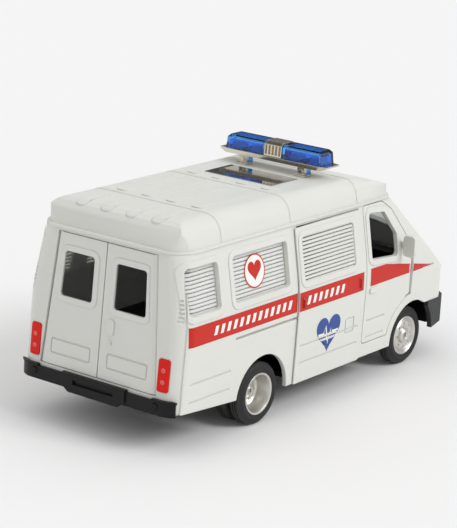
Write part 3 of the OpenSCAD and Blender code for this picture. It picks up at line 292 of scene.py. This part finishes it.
# %% [markdown]
# ## Clear and tinted plastics
# Lenses and screen are polystyrene and polycarbonate: clear right through, with an index near 1.58.
# The blue of the lamps sits in the plastic itself, so light that crosses more of it comes out deeper
# blue. The headlamps are clear lenses over a silvered back, with moulded flutes 1 mm apart. A wave
# texture at scale 1 repeats every 0.314 units, which sets how its scale follows from millimetres.

# %% Lens plastics
WAVE_PERIOD = 0.314


def clear_plastic(name, hex_colour, roughness=0.04):
    m = start(name)
    where = add(m, "ShaderNodeTexCoord").outputs["Object"]
    flow = add(m, "ShaderNodeTexNoise", {"Scale": 1 / (4 * MM), "Detail": 2.0}, {"Vector": where})
    edge = add(m, "ShaderNodeBevel", {"samples": 4, "Radius": 0.3 * MM})
    bump = add(m, "ShaderNodeBump", {"Strength": 0.15, "Distance": 0.05 * MM},
               {"Height": flow.outputs["Fac"], "Normal": edge.outputs["Normal"]})
    return close(m, add(m, "ShaderNodeBsdfPrincipled",
                        {"Base Color": linear(hex_colour), "Transmission Weight": 1.0, "IOR": 1.5,
                         "Roughness": roughness}, {"Normal": bump.outputs["Normal"]}))


def fluted_lamp(name, hex_colour, flute_mm):
    m = start(name)
    where = add(m, "ShaderNodeTexCoord").outputs["Object"]
    flutes = add(m, "ShaderNodeTexWave",
                 {"bands_direction": "Y", "Scale": WAVE_PERIOD / (flute_mm * MM)}, {"Vector": where})
    edge = add(m, "ShaderNodeBevel", {"samples": 4, "Radius": 0.3 * MM})
    bump = add(m, "ShaderNodeBump", {"Strength": 0.5, "Distance": 0.15 * MM},
               {"Height": flutes.outputs["Fac"], "Normal": edge.outputs["Normal"]})
    return close(m, add(m, "ShaderNodeBsdfPrincipled",
                        {"Base Color": linear(hex_colour), "Metallic": 0.7, "Roughness": 0.22,
                         "Coat Weight": 1.0, "Coat Roughness": 0.04},
                        {"Normal": bump.outputs["Normal"]}))


blue_lens = clear_plastic("blue_polycarbonate_lens", "#54A2F6")
screen_clear = clear_plastic("clear_polystyrene_screen", "#EEF3F2")
headlamp_clear = fluted_lamp("clear_lens_silvered", "#D6D9DA", 1.0)
print("lens plastics made")

# %% [markdown]
# ## Printed foil
# Stripes and signs are screen-printed foil stickers: a flat, even ink, slightly glossy, with a trace
# of mottling where the ink is thin. The tail lamps are the same red foil on a raised block.

# %% Foil inks
def foil_ink(name, hex_colour, roughness=0.32, sheen=0.3):
    m = start(name)
    where = add(m, "ShaderNodeTexCoord").outputs["Object"]
    mottle = add(m, "ShaderNodeTexNoise", {"Scale": 1 / (1.6 * MM), "Detail": 3.0}, {"Vector": where})
    ink = linear(hex_colour)
    tint = add(m, "ShaderNodeMix", {"data_type": "RGBA", 6: shade(ink, 0.93), 7: ink},
               {0: mottle.outputs["Fac"]})
    bump = add(m, "ShaderNodeBump", {"Strength": 0.05, "Distance": 0.02 * MM},
               {"Height": mottle.outputs["Fac"]})
    return close(m, add(m, "ShaderNodeBsdfPrincipled",
                        {"IOR": 1.49, "Roughness": roughness, "Specular IOR Level": sheen},
                        {"Base Color": tint.outputs[2], "Normal": bump.outputs["Normal"]}))


red_foil = foil_ink("red_foil", "#C62B20", sheen=0.2)
lamp_red = foil_ink("red_lamp_foil", "#DE1A10", 0.4, sheen=0.2)
# a darker red: painted shade for the sliding door's ribs
rib_red_painted_shade = foil_ink("red_foil_rib_painted_shade", "#BE2A1F")
reflex = foil_ink("pale_reflex_spot", "#DB6F66", 0.25)
blue_foil = foil_ink("blue_foil", "#2F4C96")
white_foil = foil_ink("white_foil", "#F0EFEB")
print("foil inks made")

# %% [markdown]
# ## Dress the CAD nodes
# The solids keep their shape and only get a material. Their flat facets, where a bowed panel was
# modelled as several strips, are shaded as one smooth surface: a node modifier welds the corners and
# marks only edges above 26 degrees as sharp, so that the shading flows over the small steps. The
# roof's rounding was cut in coarser steps, so there only edges above 50 degrees stay sharp.

# %% Assign materials
finishes = {
    white_abs: ["body_shell", "roof_cap", "front_door_left", "front_door_right", "rear_door_left",
                "rear_door_right", "side_door", "mirror_left", "mirror_right"],
    slat_abs: ["louvre_left", "louvre_right"],
    reflector_abs: ["bar_reflectors"],
    black_pp: ["chassis", "rear_bumper", "grille", "dashboard", "steering_wheel", "motor_case",
               "motor_lid"],
    grey_pp: ["front_bumper"],
    cabin_pp: ["interior_tub", "cab_seats"],
    gear_nylon: ["axle_gear", "idler_gear"],
    front_pvc: ["tyre_front_left", "tyre_front_right"],
    rear_pvc: ["tyre_rear_left_outer", "tyre_rear_left_inner", "tyre_rear_right_outer",
               "tyre_rear_right_inner"],
    film: ["bar_tray", "bar_siren"],
    black_steel: ["bumper_bolts"],
    hatch_film: ["roof_plate"],
    silver_paint: ["rim_front_left", "rim_front_right", "rim_rear_left", "rim_rear_right"],
    steel: ["front_axle", "rear_axle", "chassis_screws", "flywheel"],
    blue_lens: ["bar_lens_left", "bar_lens_right"],
    screen_clear: ["windscreen"],
    headlamp_clear: ["headlamp_left", "headlamp_right"],
    lamp_red: ["tail_lamp_left", "tail_lamp_right"],
}
for material, names in finishes.items():
    for name in names:
        nodes[name].data.materials.clear()
        nodes[name].data.materials.append(material)
print("dressed", sum(len(n) for n in finishes.values()), "of", len(nodes), "nodes")

# %% Smooth shading by a node modifier
WELD_MM = 0.002
PANEL_SHARP, ROOF_SHARP = 26, 50


def weld_and_smooth(name, sharp_degrees):
    g = bpy.data.node_groups.new(name, "GeometryNodeTree")
    for way in ("INPUT", "OUTPUT"):
        g.interface.new_socket("Geometry", in_out=way, socket_type="NodeSocketGeometry")
    raw = add(g, "NodeGroupInput")
    plain = add(g, "GeometryNodeRemoveAttribute", {"Name": "custom_normal"},
                {"Geometry": raw.outputs[0]})
    weld = add(g, "GeometryNodeMergeByDistance", {"Distance": WELD_MM * MM},
               {"Geometry": plain.outputs[0]})
    bend = add(g, "GeometryNodeInputMeshEdgeAngle")
    crisp = add(g, "FunctionNodeCompare", {"operation": "GREATER_THAN", 1: math.radians(sharp_degrees)},
                {0: bend.outputs["Unsigned Angle"]})
    soft = add(g, "GeometryNodeSetShadeSmooth", {"domain": "FACE", "Shade Smooth": True},
               {"Geometry": weld.outputs[0]})
    sharp = add(g, "GeometryNodeSetShadeSmooth", {"domain": "EDGE", "Shade Smooth": False},
                {"Geometry": soft.outputs[0], "Selection": crisp.outputs[0]})
    add(g, "NodeGroupOutput", links={0: sharp.outputs[0]})
    return g


panel_shading = weld_and_smooth("smooth_panels", PANEL_SHARP)
roof_shading = weld_and_smooth("smooth_roof", ROOF_SHARP)
for name, node in nodes.items():
    shading = roof_shading if name == "roof_cap" else panel_shading
    node.modifiers.new(shading.name, "NODES").node_group = shading
print("smoothed", len(nodes), "nodes")

# %% [markdown]
# ## Stickers that follow the panel
# A sticker takes the curve of what it is stuck to. We draw its outline flat, in side view, cut it
# into a fine mesh, and drop each point sideways onto the CAD surface with a ray; a lift of a few
# hundredths of a millimetre stands for the foil's thickness. A texture would have been quicker, but a
# piece of its own can ride on a door and keeps its clean edge in any view.

# %% Rays onto the CAD surface
FAR = 0.2
CUT_TOLERANCE = 1e-7


def surface_of(*names):
    points, faces = [], []
    for name in names:
        first = len(points)
        mesh = nodes[name].data
        points += [v.co.copy() for v in mesh.vertices]
        faces += [[first + i for i in p.vertices] for p in mesh.polygons]
    return BVHTree.FromPolygons(points, faces)


def touch(tree, x_mm, z_mm, side):
    start_at = Vector((x_mm * MM, side * FAR, z_mm * MM))
    place = tree.ray_cast(start_at, Vector((0, -side, 0)))[0]
    return place if place else tree.find_nearest(start_at)[0]


def slice_at(bm, axis, at_mm):
    normal = Vector((axis == 0, 0, axis == 2))
    bmesh.ops.bisect_plane(bm, geom=bm.verts[:] + bm.edges[:] + bm.faces[:], dist=CUT_TOLERANCE,
                           plane_co=normal * at_mm * MM, plane_no=normal)


def cut_fine(outline, step_mm):
    bm = bmesh.new()
    bm.faces.new([bm.verts.new((x * MM, 0, z * MM)) for x, z in outline])
    bmesh.ops.triangulate(bm, faces=bm.faces[:])
    xs, zs = [p[0] for p in outline], [p[1] for p in outline]
    for axis, values in ((0, xs), (2, zs)):
        at = min(values) + step_mm
        while at < max(values):
            slice_at(bm, axis, at)
            at += step_mm
    return bm


wall = touch(surface_of("body_shell"), -60, 30, -1)
print("the right wall is", round(-wall.y / MM, 2), "mm from the middle at x -60, z 30")

# %% [markdown]
# ## One sticker
# On a plain panel every point of the foil takes the panel's own depth, or that of the higher ground
# just above or below it, because foil spans a groove and does not sink into it. On the louvre blinds it
# cannot follow the slats in and out, so there it lies on the plane through the lowest and the highest
# slat that it covers.

# %% Lay one sticker
SLAT_FOOT, SLAT_PITCH = 47.8, 16 / 12


def slat_rows(low, high):
    rows = [SLAT_FOOT + i * SLAT_PITCH for i in range(1, 12)]
    inside = [z for z in rows if low <= z <= high]
    return inside[0], inside[-1]


def piece(bm, name, material, body):
    bmesh.ops.recalc_face_normals(bm, faces=bm.faces[:])
    mesh = bpy.data.meshes.new(name)
    bm.to_mesh(mesh)
    bm.free()
    mesh.materials.append(material)
    for polygon in mesh.polygons:
        polygon.use_smooth = True
    obj = bpy.data.objects.new(name, mesh)
    scene.collection.objects.link(obj)
    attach(obj, body)
    return obj


def sticker(name, outline, side, on, body, material, lift_mm=0.05, step_mm=1.5, flat=False,
            bridge_mm=0.0):
    """side is -1 for the van's right and 1 for its left. flat lays it on a plane over louvre slats, and
    bridge_mm is how far above and below a point the foil still rests on, so that it spans a groove."""
    bm = cut_fine(outline, step_mm)
    tree = surface_of(*on)
    xs, zs = [p[0] for p in outline], [p[1] for p in outline]
    across = (min(xs) + max(xs)) / 2
    ends = [touch(tree, across, z, side) for z in slat_rows(min(zs), max(zs))] if flat else None
    for v in bm.verts:
        if flat:
            t = (v.co.z - ends[0].z) / (ends[1].z - ends[0].z)
            hit = ends[0].y + (ends[1].y - ends[0].y) * t
        else:
            rests = [touch(tree, v.co.x / MM, v.co.z / MM + up, side).y
                     for up in (-bridge_mm, 0, bridge_mm)]
            hit = max(rests, key=lambda y: y * side)
        v.co.y = hit + side * lift_mm * MM
    obj = piece(bm, name, material, body)
    if obj.data.polygons[0].normal.y * side < 0:
        obj.data.flip_normals()
    return obj


print("slats from", SLAT_FOOT, "mm up,", round(SLAT_PITCH, 3), "mm apart")

# %% [markdown]
# ## Rib ends on the roof
# Four low ribs stiffen the roof, and each one follows it down where it starts to bend at the back. The
# solid's ribs run straight on and stand out like tabs, so a copy of the roof takes the solid's place
# here. It is sliced every half millimetre along the bend, and then each point of a rib is let down
# onto the roof, whose height a ray finds on the bare strip between the ribs.

# %% Roof whose ribs follow the bend
BEND_FRONT, BEND_BACK, SLICE = -73.9, -79.4, 0.5
RIB_TOP, RIB_RISE, RIB_ROOT, ABOVE_SKIN = 78.2, 0.3, 0.5, 0.03
roof_tree = surface_of("roof_cap")
roof_bm = bmesh.new()
roof_bm.from_mesh(nodes["roof_cap"].data)
bmesh.ops.remove_doubles(roof_bm, verts=roof_bm.verts[:], dist=WELD_MM * MM)
for i in range(int((BEND_FRONT - BEND_BACK) / SLICE) + 1):
    slice_at(roof_bm, 0, BEND_FRONT - i * SLICE)
let_down = 0
for v in roof_bm.verts:
    if BEND_BACK * MM < v.co.x < (BEND_FRONT + 0.01) * MM:
        skin_z = roof_tree.ray_cast(Vector((v.co.x, 0, FAR)), Vector((0, 0, -1)))[0].z
        if v.co.z > skin_z + ABOVE_SKIN * MM:
            v.co.z = skin_z + (RIB_RISE if v.co.z > RIB_TOP * MM else -RIB_ROOT) * MM
            let_down += 1
roof = piece(roof_bm, "roof_skin", white_abs, "van")
roof.modifiers.new(roof_shading.name, "NODES").node_group = roof_shading
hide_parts("roof_cap")
print("rib points let down:", let_down)

# %% [markdown]
# ## The red stripe
# One band runs along each flank at hand height and thins out to a point over the front wheel. On the
# right it crosses the sliding door and the cab door, so it is cut into four stickers, each stuck to
# the panel under it. A row of slanted white dashes runs along it, as on many service vans.

# %% Red stripe
STRIPE_LOW, STRIPE_HIGH = 37.6, 44.5
STRIPE_BACK, STRIPE_FRONT = -81.75, 19.5
CAB_BACK, WING_TIP = 25.2, 68.5
FOIL_STEP, GROOVE = 0.8, 0.8
door_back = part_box("side_door")[0].x / MM
door_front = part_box("side_door")[1].x / MM
cab_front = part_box("front_door_right")[1].x / MM


def band(x0, x1):
    return [(x0, STRIPE_LOW), (x1, STRIPE_LOW), (x1, STRIPE_HIGH), (x0, STRIPE_HIGH)]


cab_taper = [(CAB_BACK, 37.7), (cab_front - 0.2, 37.9), (cab_front - 0.2, 41.05),
             (53.0, 41.2), (35.2, 44.4), (CAB_BACK, 44.4)]
wing_taper = [(cab_front + 0.5, 37.9), (WING_TIP, 38.1), (cab_front + 0.5, 40.95)]
for side, hand in ((-1, "right"), (1, "left")):
    if side < 0:
        sticker("stripe_rear_right", band(STRIPE_BACK, door_back - 0.4), side, ["body_shell"], "van",
                red_foil, step_mm=FOIL_STEP, bridge_mm=GROOVE)
        sticker("stripe_side_door", band(door_back + 0.1, door_front - 0.1), side, ["side_door"],
                "load_door", red_foil, step_mm=0.6)
    else:
        sticker("stripe_rear_left", band(STRIPE_BACK, STRIPE_FRONT), side, ["body_shell"], "van",
                red_foil, step_mm=FOIL_STEP, bridge_mm=GROOVE)
    sticker(f"stripe_cab_{hand}", cab_taper, side, [f"front_door_{hand}"], f"cab_door_{hand}",
            red_foil, step_mm=FOIL_STEP)
    sticker(f"stripe_wing_{hand}", wing_taper, side, ["body_shell"], "van", red_foil, 0.08, 0.4)
print("stripe laid from", STRIPE_BACK, "to", WING_TIP, "mm")

# %% [markdown]
# ## Red caps on the door's ribs
# Two upright ribs of the sliding door stand proud of the stripe. Their faces are red too, so each one
# gets a thin cap, in a darker red that is painted shade for the ribs' shaded sides.

# %% Red caps on the door's ribs
CAP_SIZE = (1.5, 0.24, 3.7)
CAP_Z = 40.7
# each cap's darker red is painted shade on the rib
for x, end in ((door_back + 2.8, "rear"), (door_front - 2.0, "front")):
    outer = touch(surface_of("side_door"), x, CAP_Z, -1).y
    cap = bmesh.new()
    bmesh.ops.create_cube(cap, size=1, matrix=Matrix.Translation((x * MM, outer, CAP_Z * MM))
                          @ Matrix.Diagonal((*(v * MM for v in CAP_SIZE), 1)))
    piece(cap, f"stripe_rib_painted_shade_{end}", rib_red_painted_shade, "load_door")
print("two caps set", CAP_SIZE, "mm")

# %% Slanted dashes
DASH_LOW, DASH_HIGH, DASH_W, DASH_LEAN = 39.5, 42.6, 1.7, 1.0
DASH_FIRST, DASH_STEP, DASH_COUNT = -69.0, 3.5, 22


def dash(x):
    return [(x, DASH_LOW), (x + DASH_W, DASH_LOW),
            (x + DASH_W + DASH_LEAN, DASH_HIGH), (x + DASH_LEAN, DASH_HIGH)]


made = 0
for side, hand in ((-1, "right"), (1, "left")):
    for i in range(DASH_COUNT):
        x = DASH_FIRST + i * DASH_STEP
        on_door = side < 0 and x > door_back + 3.6
        if side < 0 and not on_door and x + DASH_W + DASH_LEAN > door_back - 0.4:
            continue
        sticker(f"dash_{hand}_{i}", dash(x), side, ["side_door" if on_door else "body_shell"],
                "load_door" if on_door else "van", white_foil, lift_mm=0.1)
        made += 1
print("dashes", made)

# %% [markdown]
# ## Two signs
# A ringed sign sits on the middle window's slats and a blue one on the sliding door. Both get a heart,
# which is everybody's sign for care: the red one stands inside a thin ring on white, the blue one
# carries a white pulse line. A heart is a closed curve with a short formula, so no points are listed.

# %% Hearts, discs and the pulse line
def heart(x, z, width, count=40):
    size = width / 32
    points = []
    for i in range(count):
        t = 2 * math.pi * i / count
        rise = 13 * math.cos(t) - 5 * math.cos(2 * t) - 2 * math.cos(3 * t) - math.cos(4 * t)
        points.append((x + size * 16 * math.sin(t) ** 3, z + size * (rise + 2.5)))
    return points[::-1]


def disc(x, z, radius, count=48):
    turns = [2 * math.pi * i / count for i in range(count)]
    return [(x + radius * math.cos(t), z + radius * math.sin(t)) for t in turns]


def ribbon(path, width):
    left, right = [], []
    for i, (x, z) in enumerate(path):
        before, after = path[max(i - 1, 0)], path[min(i + 1, len(path) - 1)]
        along = Vector((after[0] - before[0], after[1] - before[1])).normalized()
        side = Vector((-along.y, along.x)) * width / 2
        left.append((x + side.x, z + side.y))
        right.append((x - side.x, z - side.y))
    return right + left[::-1]


print("a heart 10 mm wide has", len(heart(0, 0, 10)), "points")

# %% Lay the signs
RING_X, RING_Z, RING_R, RING_LINE, RING_HEART = -43.0, 56.2, 5.9, 0.5, 7.6
BLUE_X, BLUE_Z, BLUE_HEART, PULSE_LINE = -1.5, 25.4, 15.0, 0.8
beat = [(-6.2, 0.6), (-3.0, 0.6), (-1.9, 3.4), (0.1, -3.4), (1.6, 2.0), (2.6, 0.6), (6.2, 0.6)]
for side, hand in ((-1, "right"), (1, "left")):
    slats = [f"louvre_{hand}"]
    sticker(f"sign_ring_{hand}", disc(RING_X, RING_Z, RING_R), side, slats, "van", red_foil, 0.06,
            flat=True)
    sticker(f"sign_ground_{hand}", disc(RING_X, RING_Z, RING_R - RING_LINE), side, slats, "van",
            white_foil, 0.1, flat=True)
    sticker(f"sign_heart_{hand}", heart(RING_X, RING_Z, RING_HEART), side, slats, "van", red_foil, 0.14,
            flat=True)
    on, body = (["side_door"], "load_door") if side < 0 else (["body_shell"], "van")
    sticker(f"blue_heart_{hand}", heart(BLUE_X, BLUE_Z, BLUE_HEART), side, on, body, blue_foil, 0.06)
    pulse = ribbon([(BLUE_X + x, BLUE_Z + z) for x, z in beat], PULSE_LINE)
    sticker(f"pulse_{hand}", pulse, side, on, body, white_foil, 0.1)
print("signs laid at", (RING_X, RING_Z), "and", (BLUE_X, BLUE_Z), "on both sides")

# %% [markdown]
# ## Reflex spots
# Each tail lamp has two small pale domes with a red core, as bicycle reflectors have. They are spheres
# pressed flat and set on the lamp's own sloping face, which a ray from behind finds.

# %% Reflex spots
SPOT_ROWS = (("low", 0.3), ("high", 0.66))
SPOT_KINDS = (("dome", 0.85, 0.3, reflex), ("core", 0.35, 0.95, lamp_red))
for side, hand in ((-1, "right"), (1, "left")):
    lamp_tree = surface_of(f"tail_lamp_{hand}")
    lamp_low, lamp_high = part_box(f"tail_lamp_{hand}")
    across = (lamp_low.y + lamp_high.y) / 2
    for row, share in SPOT_ROWS:
        height_at = lamp_low.z + (lamp_high.z - lamp_low.z) * share
        spot = lamp_tree.ray_cast(Vector((-FAR, across, height_at)), Vector((1, 0, 0)))[0]
        for kind, radius, depth, material in SPOT_KINDS:
            cap = bmesh.new()
            pressed = Matrix.Translation(spot) @ Matrix.Diagonal((depth, 1, 1, 1))
            bmesh.ops.create_uvsphere(cap, u_segments=24, v_segments=12, radius=radius * MM,
                                      matrix=pressed)
            piece(cap, f"reflex_{kind}_{hand}_{row}", material, "van")
print("reflex spots set")

# %% [markdown]
# ## Studio
# A pale floor, an even sky and one broad lamp from the right, as in a packshot tent. Sky and sun light
# every point of an empty floor alike, so the background is one even tone and only the van's own shadow
# shows on it. A real tent has dark gaps between its cloths, and coated metal looks like metal because
# it mirrors them, so reflections alone see level dark strips in the sky; nothing else does.

# %% Floor
FLOOR_HALF, FLOOR_DROP = 6, 0.0001
floor_mesh = bpy.data.meshes.new("floor")
floor_bm = bmesh.new()
bmesh.ops.create_grid(floor_bm, x_segments=8, y_segments=8, size=FLOOR_HALF)
floor_bm.to_mesh(floor_mesh)
floor_bm.free()
floor = bpy.data.objects.new("floor", floor_mesh)
floor.location.z = cad_box[0][2] - FLOOR_DROP
scene.collection.objects.link(floor)
paper = start("studio_paper")
grey = add(paper, "ShaderNodeBsdfDiffuse", {"Color": linear("#EDEDED")})
floor_mesh.materials.append(close(paper, grey))
print("floor", 2 * FLOOR_HALF, "m wide")

# %% Sky
STRIPS = 22.0
world = bpy.data.worlds.new("studio_sky")
world.use_nodes = True
world.node_tree.nodes.clear()
scene.world = world
sky_way = add(world, "ShaderNodeTexCoord").outputs["Generated"]
height = add(world, "ShaderNodeSeparateXYZ", links={0: sky_way})
ramp = add(world, "ShaderNodeMapRange",
           {"From Min": -0.05, "From Max": 0.7, "To Min": 0.53, "To Max": 0.88},
           {"Value": height.outputs["Z"]})
steps = add(world, "ShaderNodeMath", {"operation": "MULTIPLY", 1: STRIPS}, {0: height.outputs["Z"]})
strips = add(world, "ShaderNodeMath", {"operation": "SINE"}, {0: steps.outputs[0]})
mirrored = add(world, "ShaderNodeMapRange",
               {"From Min": -1.0, "From Max": 1.0, "To Min": 0.06, "To Max": 1.2},
               {"Value": strips.outputs[0]})
ray = add(world, "ShaderNodeLightPath")
reflected = add(world, "ShaderNodeMath", {"operation": "SUBTRACT", "use_clamp": True},
                {0: ray.outputs["Is Glossy Ray"], 1: ray.outputs["Is Transmission Ray"]})
level = add(world, "ShaderNodeMix",
            links={0: reflected.outputs[0], 2: ramp.outputs[0], 3: mirrored.outputs[0]})
sky = add(world, "ShaderNodeBackground", {"Color": linear("#FFFFFF")}, {"Strength": level.outputs[0]})
add(world, "ShaderNodeOutputWorld", links={"Surface": sky.outputs[0]})
print("sky nodes:", len(world.node_tree.nodes))

# %% Lamp
lamp = bpy.data.lights.new("broad_lamp", "SUN")
lamp.energy = 1.25
lamp.angle = math.radians(24)
lamp_object = bpy.data.objects.new("broad_lamp", lamp)
from_light = Vector((0.2, -0.85, 0.72))
lamp_object.rotation_euler = from_light.to_track_quat("Z", "Y").to_euler()
scene.collection.objects.link(lamp_object)
print("lamp of", lamp.energy, "from", tuple(from_light))

# %% [markdown]
# ## Measure
# The box of the CAD solids is written down.

# %% Measure
print("cad", [round(v, 4) for corner in cad_box for v in corner])
